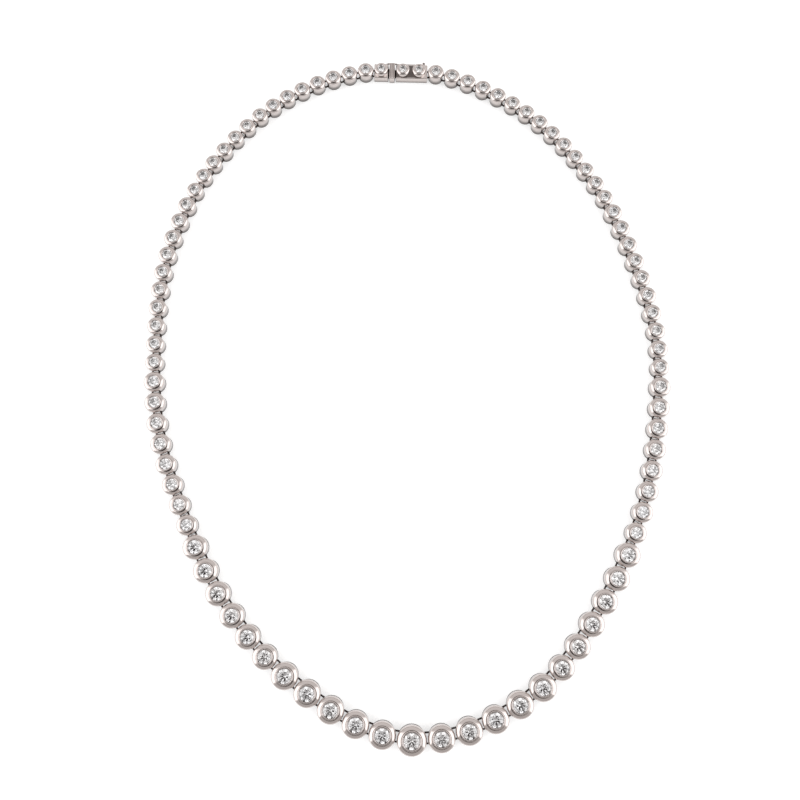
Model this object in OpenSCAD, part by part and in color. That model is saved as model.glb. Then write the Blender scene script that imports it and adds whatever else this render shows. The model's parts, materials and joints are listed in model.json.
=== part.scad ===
// Diamond riviere necklace: round collet settings in five sizes, hinged to each other by small wire
// staples, closed by a box clasp with a side safety catch. It lies flat, with its front at -Y, its
// clasp at +Y and its base rings on z = 0. Millimetres.

/* [Settings] */
// Outer diameter of the centre setting
centre_d = 6.4; // [6:0.1:7.5]
// Rows from the front to the clasp: how many settings on each side, and their outer diameter
groups = [[5, 5.85], [6, 5.45], [8, 4.6], [10, 4.1], [14, 3.85]]; // counts [1:16], diameters [3.7:0.05:6.5]
// Gap between the rims of two neighbouring settings
rim_gap = 0.2; // [0.12:0.01:0.25]
// Settings on each side of the centre that are pieces of their own
single_count = 9; // [5:9]

/* [Setting height] */
// Height of the widest part of a setting of no diameter: all cups are cut to nearly one length
cup_base_h = 1.5; // [1.4:0.05:1.7]
// What each millimetre of outer radius adds to that height
cup_slope = 0.45; // [0.3:0.05:0.5]
// Height of the straight foot
foot_h = 0.25; // [0.2:0.05:0.3]

/* [Setting shape, as shares of the outer radius] */
// Height of the domed flank, from the widest part to the top of the lip
dome_h = 0.45; // [0.42:0.01:0.6]
// Outer radius of the thin lip round the stone
lip_r = 0.66; // [0.64:0.01:0.7]
// Radius of the opening in the lip
lip_opening_r = 0.56; // [0.54:0.01:0.57]
// Outer radius of the cup at its base
base_r = 0.93; // [0.9:0.01:0.95]
// Step from the foot in to the wall of the cup
foot_step = 0.02; // [0.01:0.005:0.03]
// Radius of the hollow in the cup
hollow_r = 0.74; // [0.7:0.01:0.76]
// Radius of the hole in the ledge under the stone
ledge_r = 0.5; // [0.46:0.01:0.52]
// Radius of the stone at its girdle
stone_r = 0.6; // [0.58:0.005:0.61]
// Height of the stone's girdle below the top of the lip
girdle_drop = 0.15; // [0.14:0.01:0.18]

/* [Stone shape, as shares of the setting's outer radius] */
// Radius of the table
table_r = 0.342; // [0.33:0.002:0.36]
// Height of the table above the girdle
table_h = 0.18; // [0.16:0.01:0.19]
// Thickness of the girdle
girdle_t = 0.024; // [0.016:0.004:0.03]
// Depth of the point below the girdle
point_h = 0.5; // [0.46:0.01:0.52]

/* [Links] */
// Diameter of the staple wire
wire_d = 0.42; // [0.36:0.02:0.44]
// Diameter of the closed end of a staple, flattened a little by its bends
bar_d = 0.46; // [0.42:0.02:0.48]
// Diameter of the two holes that a staple passes through
hole_d = 0.66; // [0.64:0.02:0.7]
// Distance of each staple arm from the line between the centres, as a share of the smaller radius
arm_offset = 0.38; // [0.34:0.01:0.4]
// Distance from a setting's axis at which a staple is soldered in, as a share of its outer radius
root_r = 0.87; // [0.84:0.01:0.9]
// Distance from the next setting's axis to the closed end, as a share of its outer radius
hollow_reach = 0.45; // [0.42:0.01:0.5]
// Length of the holes from inside the closed end outwards, as a share of the outer radius
hole_l = 0.8; // [0.7:0.05:0.9]
// Height of the staples above the surface that the necklace lies on
arm_z = 0.95; // [0.9:0.05:1.1]

/* [Loop] */
// Reach of the loop from its middle, one value each 20 degrees from the front centre round by +X
loop_reach = [
    76.5, 72.5, 64, 58.5, 56, 57, 59.5, 65.5, 72.5,
    77.5, 76.5, 71, 64.5, 59, 57.5, 58, 63, 70
]; // each [50:0.5:80]

/* [Clasp] */
// Outer diameter of the three settings on the clasp
clasp_setting_d = 3.3; // [3.2:0.1:3.6]
// Height of the lips of those settings
setting_top = 3.3; // [3.2:0.05:3.4]
// Thickness of the closed floor under each stone on the clasp
floor_t = 0.15; // [0.12:0.01:0.2]
// Places of the two settings on the box, as shares of its length
box_seats = [0.22, 0.73]; // each [0.22:0.01:0.78]
// Length of the tongue end that carries one setting
tongue_end_l = 3.4; // [3.4:0.1:4]
// Thickness of the ribbed thumb plate
thumb_t = 1.35; // [1.1:0.05:1.6]
// Width of the thumb plate
thumb_w = 4.1; // [4:0.1:4.4]
// Height of the thumb plate above the box
thumb_rise = 0.4; // [0.4:0.1:1]
// Distance between the middles of two grooves in the thumb plate
groove_pitch = 0.36; // [0.3:0.02:0.4]
// Width of each groove
groove_w = 0.12; // [0.1:0.01:0.15]
// Depth of the grooves
groove_h = 0.2; // [0.15:0.05:0.3]
// Length of the box
box_l = 7.6; // [7.6:0.1:9]
// Width of the box and of the tongue end
box_w = 3.7; // [3.7:0.1:3.9]
// Height of the box up to its top plate
box_h = 2; // [1.9:0.1:2.2]
// Thickness of the box walls and plates
wall = 0.4; // [0.35:0.05:0.45]
// Width of the mouth of the box
mouth_w = 2.5; // [2.4:0.1:2.6]
// Width of the tongue
leaf_w = 2.1; // [1.9:0.1:2.2]
// Thickness of the two leaves of the tongue
leaf_t = 0.25; // [0.2:0.01:0.3]
// Distance that the tongue reaches into the box, as a share of its length
leaf_reach = 0.78; // [0.7:0.01:0.85]
// Clearance above and below the tongue in the box
leaf_gap = 0.12; // [0.1:0.01:0.15]

/* [Safety catch] */
// Diameter of the catch wire
catch_wire_d = 0.42; // [0.36:0.02:0.46]
// Height of the middle of the catch
catch_z = 0.95; // [0.9:0.05:1.1]
// Distance of the hinge pin from the outer side of the box
pin_out = 0.5; // [0.5:0.05:0.7]
// Distance of the hinge pin from the far end of the box
pin_back = 0.9; // [0.8:0.1:1.4]
// Radius of the hinge pin
pin_r = 0.18; // [0.16:0.01:0.2]
// Radius of the knuckles and of the barrel
knuckle_r = 0.4; // [0.38:0.01:0.42]
// Height of each knuckle
knuckle_h = 0.35; // [0.3:0.05:0.4]
// Height of the barrel between the knuckles
barrel_h = 0.5; // [0.45:0.05:0.6]
// Diameter of the ball that the eye of the catch passes over
ball_d = 0.6; // [0.55:0.05:0.65]
// Distance of the ball from the free end of the tongue
ball_u = 1.7; // [1.5:0.1:1.9]
// Distance of the ball from the side of the tongue end
ball_out = 0.6; // [0.55:0.05:0.7]
// Radius of the stud that carries the ball
stud_r = 0.17; // [0.15:0.01:0.2]
// Radius of the eye, to the middle of its wire
eye_r = 0.62; // [0.61:0.01:0.66]
// Distance of the eye from the side of the tongue end
eye_out = 0.32; // [0.32:0.01:0.4]
// Gap between the thumb plate and the bow of the catch
bow_gap = 0.35; // [0.3:0.05:0.5]

/* [Hidden] */
COUNT = 0;
DIAMETER = 1;
side_d = [for (g = groups) for (k = [1:g[COUNT]]) g[DIAMETER]];
side_count = len(side_d);
LAST = side_count - 1;
SIDES = ["right", "left"];

GOLD = [0.80, 0.78, 0.77];
DIAMOND = [0.93, 0.95, 0.97];
$fn = 48;
// How far a cut or a soldered piece runs past a face, so that no two faces lie in each other
OVER = 0.1;

// The clasp along its own length, from the tongue end to the far end of the box
parting = 0.3;
neck_gap = 0.25;
thumb_u = tongue_end_l + neck_gap;
box_u = thumb_u + thumb_t + parting;
box_end = box_u + box_l;
clasp_l = box_end;
anchor_clear = 0.45;
anchor_in = wall + anchor_clear;
anchor_hole_l = 1.2;

// Path lengths from the centre of the front to each setting of one side
function next_step(k) = (side_d[k] + side_d[k + 1]) / 2 + rim_gap;
side_s = [
    for (k = 0, s = (centre_d + side_d[0]) / 2 + rim_gap; k < side_count;
         s = s + (k < LAST ? next_step(k) : 0), k = k + 1) s
];
side_l = side_s[LAST] + side_d[LAST] / 2 + rim_gap;
necklace_l = 2 * side_l + clasp_l;

// The loop: a smooth curve through the reaches, brought to the length of the necklace
rows = len(loop_reach);
function row(i) = loop_reach[(i % rows + rows) % rows];
function blend(a, b, c, d, w) =
    b + w / 2 * (c - a + w * (2 * a - 5 * b + 4 * c - d + w * (3 * (b - c) + d - a)));
function reach(t) =
    let (u = t / 360 * rows, i = floor(u))
    blend(row(i - 1), row(i), row(i + 1), row(i + 2), u - i);
function curve(t) = reach(t) * [sin(t), -cos(t)];
STEPS = 720;
walk = [
    for (i = 0, s = 0; i <= STEPS;
         s = s + norm(curve(360 * (i + 1) / STEPS) - curve(360 * i / STEPS)), i = i + 1)
    [s, 360 * i / STEPS]
];
loop_k = necklace_l / walk[STEPS][0];
function loop_point(s) = loop_k * curve(lookup(s / loop_k, walk));

// Places of the settings and of the clasp before the whole is centred
raw_side = [
    [for (s = side_s) loop_point(s)],
    [for (s = side_s) loop_point(necklace_l - s)]
];
raw_centre = loop_point(0);
raw_box_end = loop_point(side_l);
raw_tongue_end = loop_point(side_l + clasp_l);
clasp_dir = (raw_box_end - raw_tongue_end) / norm(raw_box_end - raw_tongue_end);
clasp_out = [-clasp_dir.y, clasp_dir.x];
raw_clasp = (raw_box_end + raw_tongue_end - clasp_l * clasp_dir) / 2;

// The safety catch, measured from the tongue end of the clasp and from its middle line
side_v = box_w / 2;
pin_u = box_end - pin_back;
pin_v = side_v + pin_out;
pin_clearance = 0.05;
knuckle_gap = 0.1;
ball_v = side_v + ball_out;
ball_tip = 0.48 * ball_d;
eye_v = side_v + eye_out;
catch_r = catch_wire_d / 2;
eye_wire_r = catch_r + 0.01;

// Centring: the middle of the box round everything comes to x = 0, y = 0
all_points = concat(raw_side[0], raw_side[1]);
all_r = concat(side_d, side_d) / 2;
low_x = min([for (k = [0:len(all_points) - 1]) all_points[k].x - all_r[k]]);
high_x = max([for (k = [0:len(all_points) - 1]) all_points[k].x + all_r[k]]);
low_y = raw_centre.y - centre_d / 2;
high_y = (raw_clasp + ball_u * clasp_dir + ball_v * clasp_out).y + ball_tip;
middle = [(low_x + high_x) / 2, (low_y + high_y) / 2];
centre = raw_centre - middle;
side = [for (points = raw_side) [for (p = points) p - middle]];
clasp = raw_clasp - middle;
clasp_turn = atan2(clasp_dir.y, clasp_dir.x);

// A staple runs from its own setting at p, towards the next, where its closed end lies
function along(p, q) = (q - p) / norm(q - p);
function staple_end(p, next, r) = next - hollow_reach * r * along(p, next);
anchors = [
    clasp + (clasp_l - anchor_in) * clasp_dir,
    clasp + anchor_in * clasp_dir
];
function previous(s, k) = k == 0 ? centre : side[s][k - 1];
function end_point(s, k) =
    k == LAST ? anchors[s] : staple_end(side[s][k], side[s][k + 1], side_d[k + 1] / 2);
function link_r(k) = side_d[min(k + 1, LAST)] / 2;

// Heights in a setting of outer radius r
function rim_z(r) = cup_base_h + cup_slope * r;
function lip_z(r) = rim_z(r) + dome_h * r;
function girdle_z(r) = lip_z(r) - girdle_drop * r;

// Half sections of a setting, in shares of its outer radius. The top, measured down from the lip:
// a domed flank, a thin raised lip, a groove for the stone's edge and a ledge under the stone
DOME_STEPS = 5;
shoulder = [lip_r + 0.02, -0.05];
groove_r = stone_r + 0.05;
top_outline = concat(
    [for (k = [0:DOME_STEPS]) let (a = 90 * k / DOME_STEPS)
        [shoulder.x + (1 - shoulder.x) * cos(a), shoulder.y - (dome_h + shoulder.y) * (1 - sin(a))]],
    [[lip_r, shoulder.y], [lip_r - 0.01, 0], [lip_opening_r + 0.02, 0]],
    [[lip_opening_r, -0.03], [lip_opening_r, -0.08]],
    [[groove_r, 0.03 - girdle_drop], [groove_r, -0.06 - girdle_drop]],
    [[ledge_r, -0.34], [ledge_r, -0.42], [hollow_r, -0.6]]
);

// A whole cup: a nearly straight wall on a small foot, hollow and open to the back, under that top
module cup(r) {
    rotate_extrude() polygon(concat(
        [[hollow_r * r, 0], [base_r * r, 0], [base_r * r, foot_h]],
        [[(base_r - foot_step) * r, foot_h + foot_step * r]],
        [for (p = top_outline) [p.x * r, lip_z(r) + p.y * r]]
    ));
}

// Two round bars side by side, for a staple or its holes: from a distance out of p, as far as to
module arms(p, from, to, offset, d, sides) {
    translate([p.x, p.y, arm_z]) rotate(atan2(to.y - p.y, to.x - p.x))
        for (side = [-1, 1]) translate([from, side * offset, 0])
            rotate([0, 90, 0]) cylinder(h = norm(to - p) - from, d = d, $fn = sides);
}

ARM_SIDES = 10;
BAR_SIDES = 12;

// A staple soldered in the wall of a setting at p of outer radius r, its closed end at to
module staple(p, r, to, link) {
    offset = arm_offset * link;
    root = sqrt(pow(root_r * r, 2) - pow(offset, 2));
    arms(p, root, to, offset, wire_d, ARM_SIDES);
    translate([to.x, to.y, arm_z]) rotate(atan2(to.y - p.y, to.x - p.x))
        rotate([90, 0, 0]) cylinder(h = 2 * offset + wire_d, d = bar_d, center = true, $fn = BAR_SIDES);
}

// Holes in the wall nearest to the setting at from, for its staple that ends at to
module staple_holes(from, to, link, length) {
    arms(from, norm(to - from) - length, to, arm_offset * link, hole_d, $fn);
}

function ring_of(count, r, z) =
    [for (k = [0:count - 1]) [r * cos(360 * k / count), r * sin(360 * k / count), z]];

// A cut stone: table, 24 crown facets, a girdle and 16 pavilion facets
module stone(r) {
    table_sides = 8;
    girdle_sides = 2 * table_sides;
    upper = table_sides;
    lower = upper + girdle_sides;
    point = lower + girdle_sides;
    points = concat(
        ring_of(table_sides, table_r * r, table_h * r),
        ring_of(girdle_sides, stone_r * r, girdle_t / 2 * r),
        ring_of(girdle_sides, stone_r * r, -girdle_t / 2 * r),
        [[0, 0, -point_h * r]]
    );
    function wrap(k) = k % girdle_sides;
    faces = concat(
        [[for (k = [table_sides - 1:-1:0]) k]],
        [for (k = [0:table_sides - 1]) [k, upper + 2 * k + 1, upper + 2 * k]],
        [for (k = [0:table_sides - 1]) [k, (k + 1) % table_sides, upper + 2 * k + 1]],
        [for (k = [0:table_sides - 1]) [(k + 1) % table_sides, upper + wrap(2 * k + 2), upper + 2 * k + 1]],
        [for (k = [0:girdle_sides - 1]) [upper + k, upper + wrap(k + 1), lower + k]],
        [for (k = [0:girdle_sides - 1]) [upper + wrap(k + 1), lower + wrap(k + 1), lower + k]],
        [for (k = [0:girdle_sides - 1]) [lower + k, lower + wrap(k + 1), point]]
    );
    translate([0, 0, girdle_z(r)]) polyhedron(points, faces);
}

module collet_centre() {
    link = side_d[0] / 2;
    color(GOLD) union() {
        translate([centre.x, centre.y, 0]) cup(centre_d / 2);
        for (s = [0, 1]) staple(centre, centre_d / 2, staple_end(centre, side[s][0], link), link);
    }
}

module collet(s, k) {
    p = side[s][k];
    r = side_d[k] / 2;
    before = previous(s, k);
    color(GOLD) union() {
        difference() {
            translate([p.x, p.y, 0]) cup(r);
            staple_holes(before, staple_end(before, p, r), r, hole_l * r);
        }
        staple(p, r, end_point(s, k), link_r(k));
    }
}

module stone_at(p, r) {
    color(DIAMOND) translate([p.x, p.y, 0]) stone(r);
}

// Everything on the clasp is drawn with u from the tongue end to the box end and v outwards
module on_clasp() {
    translate([clasp.x, clasp.y, 0]) rotate(clasp_turn) children();
}

// A plate or block from u0 to u1, as wide as width, from z0 to z1
module slab(u0, u1, width, z0, z1) {
    translate([u0, -width / 2, z0]) cube([u1 - u0, width, z1 - z0]);
}

clasp_r = clasp_setting_d / 2;
setting_z = setting_top - lip_z(clasp_r);
plate_z = box_h - wall;
clasp_settings_u = [tongue_end_l / 2, box_u + box_l * box_seats[0], box_u + box_l * box_seats[1]];
// The floor under a clasp stone and the bore that clears the stone above it, in shares of the radius
floor_r = 0.8;
bore_r = 0.5;
trim_r = 1.2;

// The top of a setting that is soldered through a plate, with a closed floor under its stone
module half_setting(u) {
    translate([u, 0, 0]) intersection() {
        union() {
            translate([0, 0, setting_z]) cup(clasp_r);
            translate([0, 0, plate_z]) cylinder(h = floor_t, r = floor_r * clasp_r);
        }
        translate([0, 0, plate_z]) cylinder(h = setting_top, r = trim_r * clasp_r);
    }
}

// The bore that clears the stone under a half setting
module half_bore(u) {
    translate([u, 0, plate_z + floor_t]) cylinder(h = wall, r = bore_r * clasp_r);
}

// The holes in a clasp's end for the last staple of one side, drawn in the clasp's own frame
module anchor_holes(s) {
    rotate(-clasp_turn) translate([-clasp.x, -clasp.y, 0])
        staple_holes(side[s][LAST], anchors[s], link_r(LAST), anchor_hole_l);
}

module clasp_box() {
    mouth_drop = 0.3;
    color(GOLD) on_clasp() union() {
        difference() {
            slab(box_u, box_end, box_w, 0, box_h);
            slab(box_u + wall, box_end - wall, box_w - 2 * wall, wall, plate_z);
            slab(box_u - OVER, box_u + wall + OVER, mouth_w, wall, plate_z - mouth_drop);
            for (k = [1, 2]) half_bore(clasp_settings_u[k]);
            anchor_holes(0);
        }
        for (k = [1, 2]) half_setting(clasp_settings_u[k]);
        knuckles();
    }
}

// Two knuckles on the outer side of the box, with the hinge pin fixed through both
module knuckles() {
    low = catch_z - barrel_h / 2 - knuckle_gap - knuckle_h;
    high = catch_z + barrel_h / 2 + knuckle_gap;
    for (z = [low, high]) translate([pin_u, 0, z]) {
        translate([0, pin_v, 0]) cylinder(h = knuckle_h, r = knuckle_r);
        translate([-knuckle_r, side_v - OVER, 0]) cube([2 * knuckle_r, pin_out + OVER, knuckle_h]);
    }
    translate([pin_u, pin_v, low]) cylinder(h = high + knuckle_h - low, r = pin_r);
}

// The end piece, the thumb plate, the tongue and the ball stud, soldered into one
module clasp_tongue() {
    neck_z = [0.3, 1.2];
    lower_z = wall + leaf_gap;
    tip = box_u + leaf_reach * box_l;
    color(GOLD) on_clasp() union() {
        difference() {
            union() {
                slab(0, tongue_end_l, box_w, 0, box_h);
                slab(tongue_end_l - OVER, thumb_u + OVER, leaf_w, neck_z[0], neck_z[1]);
            }
            slab(wall, tongue_end_l - wall, box_w - 2 * wall, -OVER, plate_z);
            half_bore(clasp_settings_u[0]);
            anchor_holes(1);
        }
        half_setting(clasp_settings_u[0]);
        thumb_plate();
        slab(thumb_u + thumb_t - OVER, tip, leaf_w, lower_z, lower_z + leaf_t);
        slab(tip - leaf_t, tip, leaf_w, lower_z, lower_z + 2 * leaf_t);
        upper_leaf(tip, lower_z + leaf_t);
        translate([ball_u, side_v, catch_z]) rotate([-90, 0, 0]) ball_stud();
    }
}

// The thumb plate, with three grooves over its top
module thumb_plate() {
    top = box_h + thumb_rise;
    difference() {
        slab(thumb_u, thumb_u + thumb_t, thumb_w, 0, top);
        for (k = [-1:1]) {
            groove_u = thumb_u + thumb_t / 2 + groove_pitch * k;
            slab(groove_u - groove_w / 2, groove_u + groove_w / 2, 2 * thumb_w, top - groove_h, top + OVER);
        }
    }
}

// The folded-back leaf of the tongue, which springs up behind the mouth of the box
module upper_leaf(tip, z) {
    behind_mouth = 0.2;
    free_end = box_u + wall + behind_mouth;
    end_z = plate_z - leaf_gap;
    translate([0, leaf_w / 2, 0]) rotate([90, 0, 0]) linear_extrude(leaf_w)
        polygon([[tip, z], [tip, z + leaf_t], [free_end, end_z], [free_end, end_z - leaf_t]]);
}

// The stud that the eye of the catch passes over, turned in one with its ball, whose tip is flat
module ball_stud() {
    rotate_extrude() intersection() {
        union() {
            translate([0, -OVER]) square([stud_r, ball_out]);
            translate([0, ball_out]) circle(d = ball_d);
        }
        translate([0, -OVER]) square([ball_d, ball_out + ball_tip + OVER]);
    }
}

module clasp_stones() {
    color(DIAMOND) on_clasp()
        for (u = clasp_settings_u) translate([u, 0, setting_z]) stone(clasp_r);
}

// A wire with a barrel on the hinge pin, a bow round the thumb plate and an eye over the ball
module safety_catch() {
    bend_in = 0.6;
    bend_u = box_u + bend_in;
    eye_u = ball_u + eye_r;
    bow_u = (bend_u + eye_u) / 2;
    bow_half = 0.5;
    bow_v = thumb_w / 2 + bow_gap + catch_r;
    path = [
        [pin_u - knuckle_r + OVER, pin_v], [bend_u, pin_v],
        [bow_u + bow_half, bow_v], [bow_u - bow_half, bow_v], [eye_u, eye_v]
    ];
    color(GOLD) on_clasp() translate([0, 0, catch_z]) union() {
        difference() {
            union() {
                translate([pin_u, pin_v, 0]) cylinder(h = barrel_h, r = knuckle_r, center = true);
                bent_wire(path, catch_r);
            }
            translate([pin_u, pin_v, 0]) cylinder(h = 2 * barrel_h, r = pin_r + pin_clearance, center = true);
        }
        translate([ball_u, eye_v, 0]) rotate([90, 0, 0])
            rotate_extrude() translate([eye_r, 0]) circle(r = eye_wire_r);
    }
}

// A wire along a flat path, in one solid that is mitred at each bend
module bent_wire(path, r) {
    last = len(path) - 1;
    wire_sides = 16;
    function wrap(a) = a % wire_sides;
    points = [
        for (k = [0:last])
            let (
                into = along(path[max(k, 1) - 1], path[max(k, 1)]),
                onward = along(path[min(k, last - 1)], path[min(k, last - 1) + 1]),
                ahead = (into + onward) / norm(into + onward),
                across = [-ahead.y, ahead.x] / (ahead * onward)
            )
            for (a = [0:wire_sides - 1])
                let (out = path[k] + r * cos(360 * a / wire_sides) * across)
                [out.x, out.y, r * sin(360 * a / wire_sides)]
    ];
    faces = concat(
        [[for (a = [0:wire_sides - 1]) a]],
        [for (k = [0:last - 1]) for (a = [0:wire_sides - 1])
            let (here = k * wire_sides, there = here + wire_sides)
            [here + a, there + a, there + wrap(a + 1)]],
        [for (k = [0:last - 1]) for (a = [0:wire_sides - 1])
            let (here = k * wire_sides, there = here + wire_sides)
            [here + a, there + wrap(a + 1), here + wrap(a + 1)]],
        [[for (a = [wire_sides - 1:-1:0]) last * wire_sides + a]]
    );
    polyhedron(points, faces);
}

collet_centre();
stone_at(centre, centre_d / 2);  // stone_centre
for (s = [0, 1]) for (k = [0:single_count - 1]) {
    collet(s, k);
    stone_at(side[s][k], side_d[k] / 2);
}
for (s = [0, 1]) {
    for (k = [single_count:LAST]) collet(s, k);
    for (k = [single_count:LAST]) stone_at(side[s][k], side_d[k] / 2);
}
clasp_box();
clasp_tongue();
clasp_stones();
safety_catch();
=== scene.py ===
# A diamond riviere necklace lying in a loop: cut stones in polished white gold cups, joined by
# wire staples, with a box clasp and a side safety catch. All sizes are in metres.
import json
import math

import bmesh
import bpy
import numpy as np
from mathutils import Matrix, Vector

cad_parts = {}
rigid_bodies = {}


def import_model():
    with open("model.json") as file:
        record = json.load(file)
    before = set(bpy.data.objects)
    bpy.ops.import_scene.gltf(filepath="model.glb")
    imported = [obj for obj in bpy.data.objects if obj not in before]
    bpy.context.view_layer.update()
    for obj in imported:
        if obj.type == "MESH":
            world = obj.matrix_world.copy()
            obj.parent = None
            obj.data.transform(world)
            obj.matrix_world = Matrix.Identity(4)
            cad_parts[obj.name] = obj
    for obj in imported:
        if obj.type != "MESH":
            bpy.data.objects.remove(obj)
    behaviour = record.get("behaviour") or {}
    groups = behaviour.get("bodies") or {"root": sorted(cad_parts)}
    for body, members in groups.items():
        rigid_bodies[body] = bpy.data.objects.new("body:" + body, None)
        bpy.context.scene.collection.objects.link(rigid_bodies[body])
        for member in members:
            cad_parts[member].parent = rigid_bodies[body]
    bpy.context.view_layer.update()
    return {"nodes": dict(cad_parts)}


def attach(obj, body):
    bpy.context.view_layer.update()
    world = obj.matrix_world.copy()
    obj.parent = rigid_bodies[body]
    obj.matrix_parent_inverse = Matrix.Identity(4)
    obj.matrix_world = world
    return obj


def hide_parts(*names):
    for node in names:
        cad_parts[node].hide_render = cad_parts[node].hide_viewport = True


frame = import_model()
MM = 0.001


# THE STONES
# Round brilliants of 57 facets, cut from clear white diamond: a table, 8 stars, 8 kites and 16 upper
# halves over a thin edge, and 16 lower halves with 8 long mains that meet in a point. Each is held
# by the lip of its cup, so its place and size in the frame also give those of its cup.
STONE_SHARE = 0.6  # a stone's radius, as a share of its cup's outer radius
TABLE_SHARE = 0.56  # of the stone's radius, as are the next two
EDGE_T = 0.024
ROUGH_T = 2.4
EDGE_SIDES = 64
CROWN_SLOPE = math.radians(34.5)
UPPER_HALF_SLOPE = math.radians(41.5)
STAR_SLOPE = math.radians(21.5)
PAVILION_SLOPE = math.radians(40.8)
LOWER_HALF_SLOPE = math.radians(41.9)
MAINS = 8
EIGHTH = math.radians(45)
LEAN = math.radians(1.2)
TOUCHING = 1e-6
REFRACTION = 2.42
TINT_SIZE = 7 * MM
COOL_TINT = (0.72, 0.72, 0.74, 1)
WARM_TINT = (0.76, 0.735, 0.72, 1)


class Setting:
    """One setting: where its middle is, its stone's radius and edge height, and its outer radius."""

    def __init__(self, corners):
        low, high = corners.min(axis=0), corners.max(axis=0)
        self.place = Vector(((low[0] + high[0]) / 2, (low[1] + high[1]) / 2, 0))
        spread = np.hypot(corners[:, 0] - self.place.x, corners[:, 1] - self.place.y)
        self.stone_r = float(spread.max())
        on_edge = spread > 0.99 * self.stone_r
        self.edge_z = float(corners[on_edge][:, 2].mean())
        self.r = self.stone_r / STONE_SHARE
        self.round_neck = math.atan2(self.place.x, -self.place.y)


def settings_of(node):
    """The settings of a stone node, from the front of the necklace to its clasp."""
    solid = bmesh.new()
    solid.from_mesh(frame["nodes"][node].data)
    bmesh.ops.remove_doubles(solid, verts=solid.verts, dist=TOUCHING)
    unseen = set(solid.verts)
    found = []
    for seed in solid.verts:
        if seed not in unseen:
            continue
        unseen.discard(seed)
        group, front = [seed], [seed]
        while front:
            corner = front.pop()
            for edge in corner.link_edges:
                other = edge.other_vert(corner)
                if other in unseen:
                    unseen.discard(other)
                    group.append(other)
                    front.append(other)
        found.append(Setting(np.array([tuple(v.co) for v in group])))
    solid.free()
    return sorted(found, key=lambda setting: abs(setting.round_neck))


def grind(stone, around, slope, reach, height):
    """Grinds one facet: a plane at that slope, facing that way, through a point at reach and height."""
    outward = Vector((math.cos(around), math.sin(around), 0))
    facing = outward * math.sin(slope) + Vector((0, 0, math.cos(slope)))
    through = outward * reach + Vector((0, 0, height))
    everything = stone.verts[:] + stone.edges[:] + stone.faces[:]
    made = bmesh.ops.bisect_plane(
        stone, geom=everything, dist=TOUCHING, plane_co=through, plane_no=facing, clear_outer=True
    )
    rim = [piece for piece in made["geom_cut"] if isinstance(piece, bmesh.types.BMEdge)]
    bmesh.ops.contextual_create(stone, geom=rim)


def brilliant():
    """A brilliant with a radius of 1, its edge at z = 0."""
    stone = bmesh.new()
    bmesh.ops.create_cone(stone, cap_ends=True, segments=EDGE_SIDES, radius1=1, radius2=1, depth=ROUGH_T)
    half_edge = EDGE_T / 2
    scallop = (1 - math.cos(EIGHTH / 4)) * math.tan(UPPER_HALF_SLOPE)
    table_z = half_edge + scallop + (1 - TABLE_SHARE) * math.tan(CROWN_SLOPE)
    star_reach = TABLE_SHARE * math.cos(EIGHTH / 2)
    grind(stone, 0, 0, 0, table_z)
    for k in range(2 * MAINS):
        around = (k + 0.5) * EIGHTH / 2
        grind(stone, around, UPPER_HALF_SLOPE, 1, half_edge)
        grind(stone, around, math.pi - LOWER_HALF_SLOPE, 1, -half_edge)
    for k in range(MAINS):
        grind(stone, k * EIGHTH, CROWN_SLOPE, 1, half_edge + scallop)
        grind(stone, (k + 0.5) * EIGHTH, STAR_SLOPE, star_reach, table_z)
        grind(stone, k * EIGHTH, math.pi - PAVILION_SLOPE, 1, -half_edge - scallop)
    bmesh.ops.recalc_face_normals(stone, faces=stone.faces)
    mesh = bpy.data.meshes.new("brilliant")
    stone.to_mesh(mesh)
    stone.free()
    obj = bpy.data.objects.new("brilliant", mesh)
    bpy.context.scene.collection.objects.link(obj)
    return obj


class Signal:
    """One socket of a shader. Sums, differences and products of signals add Math nodes."""

    def __init__(self, shader, socket):
        self.shader, self.socket = shader, socket

    def mathematics(self, operation, other):
        return self.shader.add("ShaderNodeMath", {"operation": operation}, {0: self, 1: other})

    def __add__(self, other):
        return self.mathematics("ADD", other)

    def __sub__(self, other):
        return self.mathematics("SUBTRACT", other)

    def __mul__(self, other):
        return self.mathematics("MULTIPLY", other)

    def or_more(self, other):
        return self.mathematics("MAXIMUM", other)


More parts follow.
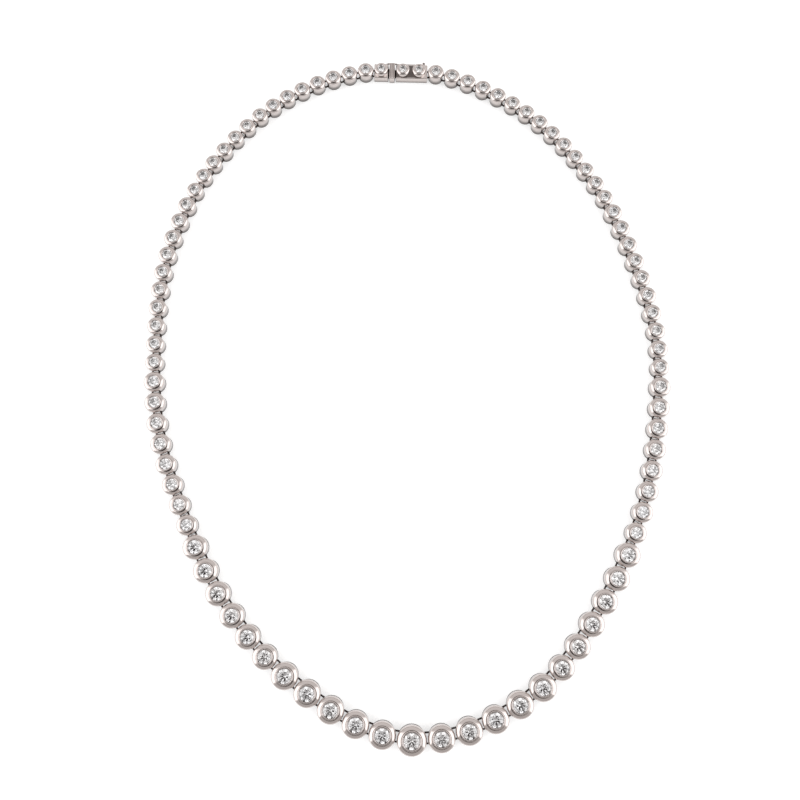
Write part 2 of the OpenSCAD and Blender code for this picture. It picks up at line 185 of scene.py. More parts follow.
class Shader:
    """The nodes of a material or of the world. add() makes any node, sets its options, then its sockets."""

    def __init__(self, data):
        data.use_nodes = True
        self.data = data
        self.tree = data.node_tree
        self.coordinates = self.tree.nodes.new("ShaderNodeTexCoord")

    def of(self, name):
        """A texture coordinate: Object for a piece, Generated for the world's directions."""
        return Signal(self, self.coordinates.outputs[name])

    def set(self, node, sockets):
        for key, value in sockets.items():
            if isinstance(value, Signal):
                self.tree.links.new(value.socket, node.inputs[key])
            else:
                node.inputs[key].default_value = value

    def add(self, kind, options, sockets, output=0):
        node = self.tree.nodes.new(kind)
        for key, value in options.items():
            setattr(node, key, value)
        self.set(node, sockets)
        return Signal(self, node.outputs[output])

    def noise(self, size, detail=2.0, roughness=0.5, place=None):
        """Noise whose marks are about size across."""
        where = place or self.of("Object")
        sockets = {"Vector": where, "Scale": 1 / size, "Detail": detail, "Roughness": roughness}
        return self.add("ShaderNodeTexNoise", {}, sockets)

    def part(self, vector, axis):
        """The X, Y or Z of a vector."""
        return self.add("ShaderNodeSeparateXYZ", {}, {"Vector": vector}, axis)

    def along(self, vector, facing):
        """How far a vector reaches in the direction of facing."""
        sockets = {0: vector, 1: facing}
        return self.add("ShaderNodeVectorMath", {"operation": "DOT_PRODUCT"}, sockets, "Value")

    def ramp(self, value, start, end, kind="LINEAR"):
        """0 up to start and 1 from end on, whichever of the two is the larger."""
        limits = {"Value": value, "From Min": start, "From Max": end}
        return self.add("ShaderNodeMapRange", {"interpolation_type": kind}, limits)

    def blend(self, amount, first, second):
        """A colour between two."""
        return self.add("ShaderNodeMix", {"data_type": "RGBA"}, {"Factor": amount, 6: first, 7: second}, 2)

    def bump(self, height, depth, strength):
        return self.add("ShaderNodeBump", {}, {"Height": height, "Distance": depth, "Strength": strength})

    def surface(self, sockets):
        self.set(self.tree.nodes["Principled BSDF"], sockets)
        return self.data


def diamond():
    """Clear diamond, greyed by wear and a little warmer in one stone than in the next."""
    shader = Shader(bpy.data.materials.new("diamond"))
    colour = shader.blend(shader.noise(TINT_SIZE, detail=0.0), COOL_TINT, WARM_TINT)
    clear = {"Roughness": 0.0, "IOR": REFRACTION, "Transmission Weight": 1.0}
    return shader.surface({"Base Color": colour, **clear})


def new_tree(name, inputs):
    """A Geometry Nodes tree with a mesh going in and out, and the named inputs between."""
    tree = bpy.data.node_groups.new(name, "GeometryNodeTree")
    tree.interface.new_socket("Geometry", in_out="INPUT", socket_type="NodeSocketGeometry")
    for label, kind in inputs:
        tree.interface.new_socket(label, in_out="INPUT", socket_type=kind)
    tree.interface.new_socket("Geometry", in_out="OUTPUT", socket_type="NodeSocketGeometry")
    return tree, tree.nodes.new("NodeGroupInput"), tree.nodes.new("NodeGroupOutput")


def node_in(tree, kind, options, sockets):
    """A node of that kind in a geometry tree, with its options set and its sockets filled."""
    node = tree.nodes.new(kind)
    for key, value in options.items():
        setattr(node, key, value)
    for key, value in sockets.items():
        if isinstance(value, bpy.types.NodeSocket):
            tree.links.new(value, node.inputs[key])
        else:
            node.inputs[key].default_value = value
    return node


def attribute(tree, name, kind):
    """The value that each point carries under that name."""
    node = node_in(tree, "GeometryNodeInputNamedAttribute", {"data_type": kind}, {"Name": name})
    return node.outputs["Attribute"]


def realized(tree, geometry, material, out):
    """Ends a tree: its instances become one plain mesh of that material."""
    real = node_in(tree, "GeometryNodeRealizeInstances", {}, {"Geometry": geometry})
    sockets = {"Geometry": real.outputs["Geometry"], "Material": material}
    coloured = node_in(tree, "GeometryNodeSetMaterial", {}, sockets)
    tree.links.new(coloured.outputs["Geometry"], out.inputs["Geometry"])


def points_with(name, rows, edges, attributes):
    """A mesh of bare points and edges, each point with the named values."""
    mesh = bpy.data.meshes.new(name)
    mesh.from_pydata(rows, edges, [])
    for label, (kind, values) in attributes.items():
        layer = mesh.attributes.new(label, kind, "POINT")
        layer.data.foreach_set("vector" if kind == "FLOAT_VECTOR" else "value", np.array(values).ravel())
    obj = bpy.data.objects.new(name, mesh)
    bpy.context.scene.collection.objects.link(obj)
    return obj


def evaluated(obj):
    """What an object's modifiers make of it, as a plain mesh; the modifiers are removed."""
    bpy.context.view_layer.update()
    depsgraph = bpy.context.evaluated_depsgraph_get()
    mesh = bpy.data.meshes.new_from_object(obj.evaluated_get(depsgraph), depsgraph=depsgraph)
    obj.modifiers.clear()
    return mesh


def grow(obj, tree, values):
    """Turns obj into the plain mesh that a tree makes of it, with the tree's named inputs set."""
    modifier = obj.modifiers.new("grow", "NODES")
    modifier.node_group = tree
    for item in tree.interface.items_tree:
        if item.item_type == "SOCKET" and item.in_out == "INPUT" and item.name in values:
            modifier[item.identifier] = values[item.name]
    obj.data = evaluated(obj)


def hand_in(obj, body, node):
    """A finished piece rides on its body and stands for its CAD node."""
    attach(obj, body)
    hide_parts(node)


def stone_tree():
    """Sets a cut stone on each point, turned and leaned as the point says."""
    tree, entry, out = new_tree(
        "stones in their seats", [("Stone", "NodeSocketObject"), ("Diamond", "NodeSocketMaterial")]
    )
    stone = node_in(tree, "GeometryNodeObjectInfo", {}, {"Object": entry.outputs["Stone"]})
    seating = {
        "Points": entry.outputs["Geometry"],
        "Instance": stone.outputs["Geometry"],
        "Rotation": attribute(tree, "lean", "FLOAT_VECTOR"),
        "Scale": attribute(tree, "radius", "FLOAT"),
    }
    seated = node_in(tree, "GeometryNodeInstanceOnPoints", {}, seating)
    realized(tree, seated.outputs["Instances"], entry.outputs["Diamond"], out)
    return tree


stone_nodes = sorted(name for name in frame["nodes"] if "stone" in name)
settings = {name: settings_of(name) for name in stone_nodes}
setter = np.random.default_rng(57)
cut_stone = brilliant()
diamond_material = diamond()
seat_stones = stone_tree()
for node, seats in settings.items():
    places = [(seat.place.x, seat.place.y, seat.edge_z) for seat in seats]
    leans = [(*setter.uniform(-LEAN, LEAN, 2), setter.uniform(0, EIGHTH)) for _ in seats]
    radii = [seat.stone_r for seat in seats]
    seating = {"lean": ("FLOAT_VECTOR", leans), "radius": ("FLOAT", radii)}
    seated = points_with(f"{node}_cut", places, [], seating)
    grow(seated, seat_stones, {"Stone": cut_stone, "Diamond": diamond_material})
    hand_in(seated, "necklace", node)
bpy.data.objects.remove(cut_stone)


# THE COLLETS AND THEIR STAPLES
# Each collet is a cup turned from white gold, with a lip rubbed over its stone and an open back. A
# round wire staple is soldered in its wall; the staple's closed end hangs in two holes of the next.
EDGE_BELOW_LIP = 0.15  # a share of the cup's outer radius, as are all down to HOLE_END
SHOULDER_BELOW_LIP = 0.55
HOLLOW_BELOW_LIP = 0.6
SHOULDER_SHARE = 0.985
BASE_SHARE = 0.93
HOLLOW_SHARE = 0.74
FOOT_STEP = 0.02
ARM_SHARE = 0.38
STAPLE_REACH = 0.45
ROOT_SHARE = 0.87
HOLE_START = 0.35
HOLE_END = 1.3
LARGE_R = 2.6 * MM  # a cup with more than this has the larger number of facets
LARGE_FACETS = 72
SMALL_FACETS = 56
FOOT_H = 0.25 * MM
FOOT_SOFT = 0.05 * MM
BEAD_BELOW = 0.03 * MM
NECK_ABOVE = 0.02 * MM
STAPLE_Z = 0.95 * MM
STAPLE_D = 0.42 * MM
STAPLE_BEND_R = 0.3 * MM
STAPLE_BEND_STEPS = 5
STAPLE_SIDES = 12
HOLE_D = 0.66 * MM
ANCHOR_IN = 0.85 * MM
CREASE = math.radians(35)
GOLD = (0.6, 0.545, 0.525)
HAZED = 0.92  # how bright the gold stays where its polish is hazed
# painted shade on the gold near the table: how dark it is painted, and the height over which it fades in
TABLE_SHADE = 0.34  # and how bright near the table, where little light reaches it
TABLE_SHADE_H = 1.0 * MM
# the colour of painted shade in recesses: on the staples between the cups and in the corners of the clasp
RECESS_SHADE = (0.055, 0.042, 0.038, 1)
HAZE_SIZE = 2.2 * MM
SCRATCH_SIZE = 0.12 * MM
SCRATCH_DEPTH = 0.0016 * MM
SCRATCH_DRAW = (1, 0.22, 1)  # draws the scratches out along Y


def curve(start, first, second, end, steps):
    """Points along a smooth curve that sets out towards first and comes in from second."""
    corners = np.array([start, first, second, end])
    points = []
    for k in range(steps + 1):
        t = k / steps
        shares = np.array([(1 - t) ** 3, 3 * t * (1 - t) ** 2, 3 * t**2 * (1 - t), t**3])
        points.append(tuple(shares @ corners))
    return points


def top_outline(r, lip_z):
    """The turned half section of a cup's top: up its domed flank, over the lip and down to the ledge."""
    shoulder = [(SHOULDER_SHARE, -SHOULDER_BELOW_LIP), (0.996, -0.495), (1, -0.45)]
    dome = curve((1, -0.39), (1, -0.166), (0.86, -0.092), (0.72, -0.065), 12) + [(0.696, -0.063)]
    lip = [(0.686, -0.074)] + curve((0.678, -0.05), (0.669, -0.008), (0.656, 0.002), (0.61, 0), 4)
    lip += curve((0.61, 0), (0.576, 0), (0.545, -0.032), (0.535, -0.076), 4)[1:] + [(0.565, -0.1)]
    seat = [(0.635, -0.12), (0.635, -0.2), (0.52, -0.3), (0.5, -0.34), (0.5, -0.42)]
    return [(share * r, lip_z + drop * r) for share, drop in shoulder + dome + lip + seat]


def cup_outline(r, lip_z):
    """The half section of a whole cup, from the edge of its hollow out and up."""
    hollow, base, neck = HOLLOW_SHARE * r, BASE_SHARE * r, (BASE_SHARE - FOOT_STEP) * r
    foot = [(hollow, FOOT_SOFT), (hollow + FOOT_STEP * r, 0), (neck, 0), (base, FOOT_SOFT)]
    foot += [(base, FOOT_H - BEAD_BELOW), (neck, FOOT_H + NECK_ABOVE)]
    wider = SHOULDER_SHARE * r - neck
    taller = lip_z - SHOULDER_BELOW_LIP * r - FOOT_H
    wall = [(neck + wider * share, FOOT_H + taller * share) for share in (0.25, 0.5, 0.75)]
    return foot + wall + top_outline(r, lip_z) + [(hollow, lip_z - HOLLOW_BELOW_LIP * r)]


def turned(outline, sides, closed=True):
    """A bmesh turned about the Z axis from a half section, whose ends are joined if it is closed."""
    shape = bmesh.new()
    rings = []
    for k in range(sides):
        a = 2 * math.pi * k / sides
        rings.append([shape.verts.new((x * math.cos(a), x * math.sin(a), z)) for x, z in outline])
    for here, there in zip(rings, rings[1:] + rings[:1]):
        for j in range(len(outline) if closed else len(outline) - 1):
            n = (j + 1) % len(outline)
            shape.faces.new((here[j], there[j], there[n], here[n]))
    if not closed:
        for end in (0, -1):
            shape.faces.new([ring[end] for ring in rings])
    bmesh.ops.recalc_face_normals(shape, faces=shape.faces)
    return shape


def smoothed(mesh):
    """A mesh shaded smooth but for its sharp edges."""
    mesh.shade_smooth()
    mesh.set_sharp_from_angle(angle=CREASE)
    return mesh


def as_object(shape, name):
    """A bmesh as a linked object."""
    mesh = bpy.data.meshes.new(name)
    shape.to_mesh(mesh)
    shape.free()
    obj = bpy.data.objects.new(name, smoothed(mesh))
    bpy.context.scene.collection.objects.link(obj)
    return obj


def bar(start, end, r, sides=24, shape=None):
    """A round bar with flat ends, as a bmesh of its own or added to one."""
    shape = bmesh.new() if shape is None else shape
    start, end = Vector(start), Vector(end)
    turn = (end - start).to_track_quat("Z", "Y").to_matrix().to_4x4()
    place = Matrix.Translation((start + end) / 2) @ turn
    sizes = {"segments": sides, "radius1": r, "radius2": r, "depth": (end - start).length}
    bmesh.ops.create_cone(shape, cap_ends=True, matrix=place, **sizes)
    return shape


def cut_with(obj, cutter):
    """Cuts one object out of another and removes it."""
    modifier = obj.modifiers.new("cut", "BOOLEAN")
    modifier.object = cutter
    modifier.operation = "DIFFERENCE"
    modifier.solver = "EXACT"
    obj.data = smoothed(evaluated(obj))
    bpy.data.objects.remove(cutter)


def holes_towards(origin, ahead, offset, near, far):
    """Two holes side by side at the staples' height, on both sides of a line from origin."""
    shape = bmesh.new()
    beside = Vector((-ahead.y, ahead.x, 0)) * offset
    for side in (-1, 1):
        middle = origin + side * beside + Vector((0, 0, STAPLE_Z))
        bar(middle + ahead * near, middle + ahead * far, HOLE_D / 2, shape=shape)
    return as_object(shape, "holes")


def cup(setting, name, facets, drilled):
    """A cup for that setting. The two holes for the staple of the one before it face along -X."""
    r = setting.r
    lip_z = setting.edge_z + EDGE_BELOW_LIP * r
    obj = as_object(turned(cup_outline(r, lip_z), facets), name)
    if drilled:
        back = Vector((-1, 0, 0))
        cut_with(obj, holes_towards(Vector(), back, ARM_SHARE * r, HOLE_START * r, HOLE_END * r))
    return obj


def shade(colour, share=1.0):
    """A colour with that share of its brightness, as a colour socket takes it."""
    return (*(share * part for part in colour), 1)


def white_gold(name, gold=GOLD, table_shade_below=1.8 * MM, recess_shade=None):
    """Polished white gold: hazed by wear, finely scratched, painted darker near the table as shade, and
    painted dark brown as shade where the given mask is 1.
    """
    shader = Shader(bpy.data.materials.new(name))
    place = shader.of("Object")
    haze = shader.noise(HAZE_SIZE, detail=3.0)
    drawn = shader.add("ShaderNodeMapping", {}, {"Vector": place, "Scale": SCRATCH_DRAW})
    scratches = shader.noise(SCRATCH_SIZE, detail=4.0, roughness=0.7, place=drawn)
    # painted shade: the gold is darker near the table, where little light reaches it
    low = shader.ramp(shader.part(place, "Z"), table_shade_below, table_shade_below - TABLE_SHADE_H)
    colour = shader.blend(haze, shade(gold, HAZED), shade(gold))
    colour = shader.blend(low, colour, shade(gold, TABLE_SHADE))
    roughness = haze * 0.07 + scratches * 0.05 + 0.05
    if recess_shade:
        # painted shade: dark brown where the mask is 1, in recesses where shade falls
        amount = recess_shade(shader)
        colour = shader.blend(amount, colour, RECESS_SHADE)
        roughness = roughness + amount * 0.3
    grain = shader.bump(scratches, SCRATCH_DEPTH, 0.35)
    return shader.surface({"Base Color": colour, "Metallic": 1.0, "Roughness": roughness, "Normal": grain})


def on_wires(shader):
    """1 on the staples, which are painted dark as shade in the gaps between the cups."""
    return shader.add("ShaderNodeAttribute", {"attribute_name": "wire"}, {}, "Fac")


def collet_tree():
    """Sets a cup of the right size on each bare point and bends each run of edges into a staple."""
    tree, entry, out = new_tree(
        "cups and staples",
        [
            ("Cups", "NodeSocketCollection"),
            ("Wire radius", "NodeSocketFloat"),
            ("Corner radius", "NodeSocketFloat"),
            ("Wire sides", "NodeSocketInt"),
            ("Gold", "NodeSocketMaterial"),
        ],
    )
    from_box = {"Collection": entry.outputs["Cups"], "Separate Children": True, "Reset Children": True}
    cups = node_in(tree, "GeometryNodeCollectionInfo", {}, from_box)
    turn = node_in(tree, "ShaderNodeCombineXYZ", {}, {"Z": attribute(tree, "turn", "FLOAT")})
    standing = {
        "Points": entry.outputs["Geometry"],
        "Selection": attribute(tree, "is_cup", "BOOLEAN"),
        "Instance": cups.outputs["Instances"],
        "Pick Instance": True,
        "Instance Index": attribute(tree, "size", "INT"),
        "Rotation": turn.outputs["Vector"],
    }
    stood = node_in(tree, "GeometryNodeInstanceOnPoints", {}, standing)
    route = node_in(tree, "GeometryNodeMeshToCurve", {}, {"Mesh": entry.outputs["Geometry"]})
    bends = {
        "Curve": route.outputs["Curve"],
        "Radius": entry.outputs["Corner radius"],
        "Count": STAPLE_BEND_STEPS,
    }
    bent = node_in(tree, "GeometryNodeFilletCurve", {"mode": "POLY"}, bends)
    round_wire = {"Resolution": entry.outputs["Wire sides"], "Radius": entry.outputs["Wire radius"]}
    section = node_in(tree, "GeometryNodeCurvePrimitiveCircle", {}, round_wire)
    drawn = {"Curve": bent.outputs["Curve"], "Profile Curve": section.outputs["Curve"], "Fill Caps": True}
    wires = node_in(tree, "GeometryNodeCurveToMesh", {}, drawn)
    mark = {"Geometry": wires.outputs["Mesh"], "Name": "wire", "Value": 1.0}
    on_points = {"data_type": "FLOAT", "domain": "POINT"}
    marked = node_in(tree, "GeometryNodeStoreNamedAttribute", on_points, mark)
    both = tree.nodes.new("GeometryNodeJoinGeometry")
    tree.links.new(stood.outputs["Instances"], both.inputs["Geometry"])
    tree.links.new(marked.outputs["Geometry"], both.inputs["Geometry"])
    realized(tree, both.outputs["Geometry"], entry.outputs["Gold"], out)
    return tree


def one_side(side):
    """(collet node, setting) of one side, in order from the front to the clasp."""
    singles = [name for name in stone_nodes if name.startswith(f"stone_{side}_")]
    singles.sort(key=lambda name: int(name.rsplit("_", 1)[1]))
    order = [(name.replace("stone", "collet"), settings[name][0]) for name in singles]
    return order + [(f"collets_{side}", setting) for setting in settings[f"stones_{side}"]]


class Batch:
    """What one CAD node of collets is made of: its cups and its staples."""

    def __init__(self):
        self.rows, self.edges, self.is_cup, self.size, self.turn = [], [], [], [], []

    def point(self, place, is_cup, size=0, turn=0.0):
        self.rows.append(tuple(place))
        self.is_cup.append(is_cup)
        self.size.append(size)
        self.turn.append(turn)

    def add_cup(self, setting, ahead):
        self.point(setting.place, True, size_of(setting), math.atan2(ahead.y, ahead.x))

    def add_staple(self, setting, arm, end):
        """A staple from the wall of its setting to its closed end, as the four corners of its wire."""
        ahead = (end - setting.place).normalized()
        beside = Vector((-ahead.y, ahead.x, 0)) * arm
        root = setting.place + ahead * math.sqrt((ROOT_SHARE * setting.r) ** 2 - arm**2)
        up = Vector((0, 0, STAPLE_Z))
        first = len(self.rows)
        for corner in (root + beside, end + beside, end - beside, root - beside):
            self.point(corner + up, False)
        self.edges += [(first + k, first + k + 1) for k in range(3)]

    def attributes(self):
        return {
            "is_cup": ("BOOLEAN", self.is_cup),
            "size": ("INT", self.size),
            "turn": ("FLOAT", self.turn),
        }


def rounded_size(setting):
    """A setting's outer radius in millimetres, to the nearest hundredth."""
    return round(setting.r / MM, 2)


def size_of(setting):
    """The place of a setting's cup among the sizes of cup, the largest first."""
    return cup_sizes.index(rounded_size(setting))


centre = settings["stone_centre"][0]
sides = {"right": one_side("right"), "left": one_side("left")}
all_settings = [centre] + [setting for side in sides.values() for _, setting in side]
cup_sizes = sorted({rounded_size(setting) for setting in all_settings}, reverse=True)
cup_box = bpy.data.collections.new("cups")
bpy.context.scene.collection.children.link(cup_box)
for index in range(len(cup_sizes)):
    like = next(setting for setting in all_settings if size_of(setting) == index)
    facets = LARGE_FACETS if like.r > LARGE_R else SMALL_FACETS
    one_cup = cup(like, f"cup_{index}", facets, drilled=like is not centre)
    bpy.context.scene.collection.objects.unlink(one_cup)
    cup_box.objects.link(one_cup)

# The clasp's own directions: u runs from its tongue end to its box end, v points away from the neck
TONGUE_L = 3.4 * MM
CLASP_L = 12.9 * MM
clasp_seats = sorted(settings["clasp_stones"], key=lambda setting: setting.place.x)
clasp_u = (clasp_seats[2].place - clasp_seats[0].place).normalized()
clasp_turn = Matrix.Rotation(math.atan2(clasp_u.y, clasp_u.x), 4, "Z")
clasp_place = Matrix.Translation(clasp_seats[0].place - clasp_u * TONGUE_L / 2) @ clasp_turn
anchors = {
    "right": clasp_place @ Vector((CLASP_L - ANCHOR_IN, 0, 0)),
    "left": clasp_place @ Vector((ANCHOR_IN, 0, 0)),
}

batches = {"collet_centre": Batch()}
batches["collet_centre"].add_cup(centre, Vector((1, 0, 0)))
for side, order in sides.items():
    before, before_node = centre, "collet_centre"
    for node, setting in order:
        ahead = (setting.place - before.place).normalized()
        batches.setdefault(node, Batch()).add_cup(setting, ahead)
        end = setting.place - ahead * STAPLE_REACH * setting.r
        batches[before_node].add_staple(before, ARM_SHARE * setting.r, end)
        before, before_node = setting, node
    batches[before_node].add_staple(before, ARM_SHARE * before.r, anchors[side])

collet_gold = white_gold("collet_gold", recess_shade=on_wires)
set_collets = collet_tree()
wire = {"Wire radius": STAPLE_D / 2, "Corner radius": STAPLE_BEND_R, "Wire sides": STAPLE_SIDES}
for node, batch in batches.items():
    made = points_with(f"{node}_polished", batch.rows, batch.edges, batch.attributes())
    grow(made, set_collets, {"Cups": cup_box, "Gold": collet_gold, **wire})
    hand_in(made, "necklace", node)
for obj in list(cup_box.objects):
    bpy.data.objects.remove(obj)
bpy.data.collections.remove(cup_box)


# THE CLASP BOX
# A hollow box folded from white gold plate and soldered up, with two settings soldered on its top and
# two knuckles on its outer side, which hold the riveted hinge pin of the safety catch.
WALL = 0.4 * MM
BOX_U = 5.3 * MM
BOX_W = 3.7 * MM
BOX_H = 2.0 * MM
BOX_SOFT = 0.16 * MM
PLATE_Z = BOX_H - WALL
FLOOR_Z = PLATE_Z + 0.15 * MM
BORE_TOP = 2.6 * MM
BORE_SHARE = 0.5
MOUTH_W = 2.5 * MM
MOUTH_TOP = PLATE_Z - 0.3 * MM
ANCHOR_HOLE_L = 1.2 * MM
CATCH_Z = 0.95 * MM
PIN_U = 12.0 * MM
PIN_V = 2.35 * MM
PIN_R = 0.18 * MM
KNUCKLE_R = 0.4 * MM
KNUCKLE_H = 0.35 * MM
KNUCKLE_SOFT = 0.05 * MM
TAB_IN = 0.03 * MM
TAB_SOFT = 0.04 * MM
BARREL_H = 0.5 * MM
KNUCKLE_GAP = 0.1 * MM
THUMB_U = 3.65 * MM
THUMB_T = 1.35 * MM
THUMB_TOP = 2.4 * MM
WALL_FROM_THUMB = 1.0 * MM  # from the thumb plate's middle, as is the next
RECESS_SHADE_END = 7.0 * MM


def moved(shape, place):
    """A bmesh after a move."""
    bmesh.ops.transform(shape, matrix=place, verts=shape.verts)
    return shape


def on_clasp(shape, name):
    """A bmesh drawn along u and v, as an object in the clasp's place."""
    return as_object(moved(shape, clasp_place), name)


def block_on_clasp(low, high, name, soften=0.0, steps=3):
    """A block between two corners on the clasp, its edges rounded off by soften."""
    shape = bmesh.new()
    low, high = Vector(low), Vector(high)
    place = Matrix.Translation((low + high) / 2) @ Matrix.Diagonal((*(high - low), 1))
    bmesh.ops.create_cube(shape, size=1, matrix=place)
    if soften:
        sizes = {"offset": soften, "segments": steps, "profile": 0.5, "affect": "EDGES"}
        bmesh.ops.bevel(shape, geom=shape.edges[:], **sizes)
    return on_clasp(shape, name)


def soldered_setting(u, name):
    """The top of a cup that is let into a plate at u, with a floor under its stone."""
    r = clasp_seats[0].r
    lip_z = clasp_seats[0].edge_z + EDGE_BELOW_LIP * r
    foot_z = PLATE_Z + 0.03 * MM
    outline = [(0.3 * r, foot_z), (0.95 * r, foot_z)]
    outline += [(0.965 * r, BOX_H - 0.02 * MM), (0.97 * r, BOX_H + 0.03 * MM)] + top_outline(r, lip_z)
    outline += [(BORE_SHARE * r, FLOOR_Z), (0.3 * r, FLOOR_Z)]
    return on_clasp(moved(turned(outline, SMALL_FACETS), Matrix.Translation((u, 0, 0))), name)


def bore(obj, seats_u):
    """Bores the plate under each setting, so that the point of its stone hangs free."""
    for u in seats_u:
        drill = bar((u, 0, FLOOR_Z), (u, 0, BORE_TOP), BORE_SHARE * clasp_seats[0].r, sides=40)
        cut_with(obj, on_clasp(drill, "bore"))


def anchor_holes(side):
    """The two holes in the clasp's end for the last staple of one side."""
    last = sides[side][-1][1]
    back = (last.place - anchors[side]).normalized()
    return holes_towards(anchors[side], back, ARM_SHARE * last.r, 0, ANCHOR_HOLE_L)


def joined(name, objects, material):
    """Several objects as one mesh of one material."""
    shape = bmesh.new()
    for obj in objects:
        shape.from_mesh(obj.data)
        bpy.data.objects.remove(obj)
    whole = as_object(shape, name)
    whole.data.materials.clear()
    whole.data.materials.append(material)
    return whole


def knuckle(low_z):
    """One knuckle: a round eye on a short tab, its edges taken off."""
    pole = 0.02 * MM
    edge = KNUCKLE_R - KNUCKLE_SOFT
    outline = [(pole, 0), (edge, 0), (KNUCKLE_R, KNUCKLE_SOFT), (KNUCKLE_R, KNUCKLE_H - KNUCKLE_SOFT)]
    outline += [(edge, KNUCKLE_H), (pole, KNUCKLE_H)]
    eye = moved(turned(outline, 40, closed=False), Matrix.Translation((PIN_U, PIN_V, low_z)))
    low = (PIN_U - KNUCKLE_R + TAB_IN, half_w - 0.1 * MM, low_z + 0.02 * MM)
    high = (PIN_U + KNUCKLE_R - TAB_IN, PIN_V, low_z + KNUCKLE_H - 0.02 * MM)
    return [on_clasp(eye, "knuckle_eye"), block_on_clasp(low, high, "knuckle_tab", soften=TAB_SOFT)]


def distance_along(shader, ahead, origin):
    """How far a point of the surface lies from origin, in one direction of the clasp."""
    facing = clasp_place.to_3x3() @ Vector(ahead)
    start = (clasp_place @ Vector(origin)).dot(facing)
    return shader.along(shader.of("Object"), facing) - start


def in_corners(shader):
    """Painted shade: 1 round the feet of the clasp's settings and on both sides of its thumb plate, in the
    recesses where shade falls.
    """

    def band(value, low_start, low_end, high_end, high_start):
        return shader.ramp(value, low_start, low_end) * shader.ramp(value, high_start, high_end)

    aside = distance_along(shader, (0, 1, 0), (0, 0, 0))
    height = distance_along(shader, (0, 0, 1), (0, 0, BOX_H))
    off_thumb = distance_along(shader, (1, 0, 0), (THUMB_U + THUMB_T / 2, 0, 0))
    off_squared = off_thumb * off_thumb
    along_box = (WALL_FROM_THUMB - 0.1 * MM, WALL_FROM_THUMB, RECESS_SHADE_END - 0.3 * MM, RECESS_SHADE_END + 0.3 * MM)
    at_plate = (-0.05 * MM, -0.01 * MM, 0.03 * MM, 0.08 * MM)
    on_top = band(off_thumb, *along_box) * band(height, *at_plate)
    on_top = on_top * shader.ramp(aside * aside, (0.9 * half_w) ** 2, (0.8 * half_w) ** 2) * 0.85
    flank = THUMB_T / 2 - 0.02 * MM
    between = (flank, flank + 0.015 * MM, WALL_FROM_THUMB - 0.02 * MM, WALL_FROM_THUMB + 0.02 * MM)
    in_gap = band(off_squared, *(reach**2 for reach in between))
    groove_z = THUMB_TOP - BOX_H - 0.07 * MM
    at_groove = (groove_z - 0.13 * MM, groove_z - 0.1 * MM, groove_z - 0.05 * MM, groove_z)
    on_thumb = shader.ramp(off_squared, flank**2, (flank - 0.015 * MM) ** 2)
    in_groove = band(height, *at_groove) * on_thumb * 0.5
    return on_top.or_more(in_gap).or_more(in_groove)


seats_u = [(clasp_place.inverted() @ seat.place).x for seat in clasp_seats]
half_w = BOX_W / 2
box = block_on_clasp((BOX_U, -half_w, 0), (CLASP_L, half_w, BOX_H), "box", soften=BOX_SOFT, steps=4)
hollow = (BOX_U + WALL, -half_w + WALL, WALL), (CLASP_L - WALL, half_w - WALL, PLATE_Z)
cut_with(box, block_on_clasp(*hollow, "hollow"))
mouth = (BOX_U - WALL, -MOUTH_W / 2, WALL), (BOX_U + 1.5 * WALL, MOUTH_W / 2, MOUTH_TOP)
cut_with(box, block_on_clasp(*mouth, "mouth"))
bore(box, seats_u[1:])
cut_with(box, anchor_holes("right"))
low_knuckle = CATCH_Z - BARREL_H / 2 - KNUCKLE_GAP - KNUCKLE_H
high_knuckle = CATCH_Z + BARREL_H / 2 + KNUCKLE_GAP
pin = bar((PIN_U, PIN_V, low_knuckle), (PIN_U, PIN_V, high_knuckle + KNUCKLE_H), PIN_R, sides=32)
parts = [box, on_clasp(pin, "pin")] + knuckle(low_knuckle) + knuckle(high_knuckle)
parts += [soldered_setting(u, "box_setting") for u in seats_u[1:]]
clasp_gold = white_gold("clasp_gold", table_shade_below=1.1 * MM, recess_shade=in_corners)
clasp_box = joined("clasp_box_polished", parts, clasp_gold)
hand_in(clasp_box, "necklace", "clasp_box")


# THE CLASP TONGUE
# The end piece with its one setting, the ribbed thumb plate, the folded spring leaf that catches
# behind the mouth of the box, and the ball stud of the safety catch, all soldered together.
THUMB_W = 4.1 * MM
THUMB_SOFT = 0.06 * MM
THUMB_END = 0.35 * MM
RIBS = 4
RIB_PITCH = 0.36 * MM
RIB_H = 0.16 * MM
RIB_STEPS = 6
GROOVE_HALF = 0.04 * MM
LEAF_W = 2.1 * MM
LEAF_T = 0.25 * MM
LEAF_GAP = 0.12 * MM
LEAF_Z = WALL + LEAF_GAP
LEAF_TIP = BOX_U + 0.78 * (CLASP_L - BOX_U)
LEAF_END = BOX_U + WALL + 0.2 * MM
LEAF_SOFT = 0.02 * MM
FREE_Z = PLATE_Z - LEAF_GAP
FOLD_STEPS = 12
NECK_LOW = 0.3 * MM
NECK_TOP = 1.2 * MM
LET_IN = 0.1 * MM
BALL_U = 1.7 * MM
BALL_V = 2.45 * MM
BALL_R = 0.3 * MM
BALL_STEPS = 16
STUD_R = 0.17 * MM


def skinned(shape, rings):
    """A bmesh whose rings of corners are joined by faces, one to the next, and closed at both ends."""
    for here, there in zip(rings, rings[1:]):
        for j in range(len(here)):
            n = (j + 1) % len(here)
            shape.faces.new((here[j], there[j], there[n], here[n]))
    shape.faces.new(rings[0])
    shape.faces.new(rings[-1])
    bmesh.ops.recalc_face_normals(shape, faces=shape.faces)
    return shape


def drawn_across(outline, stations):
    """A bmesh drawn across the clasp from a (u, z) outline, taken in at each station's v by its inset."""
    shape = bmesh.new()
    outline = np.array(outline)
    middle = (outline.min(axis=0) + outline.max(axis=0)) / 2
    half = (outline.max(axis=0) - outline.min(axis=0)) / 2
    rings = []
    for v, inset in stations:
        taken_in = middle + (outline - middle) * (1 - inset / half)
        rings.append([shape.verts.new((u, v, z)) for u, z in taken_in])
    return skinned(shape, rings)


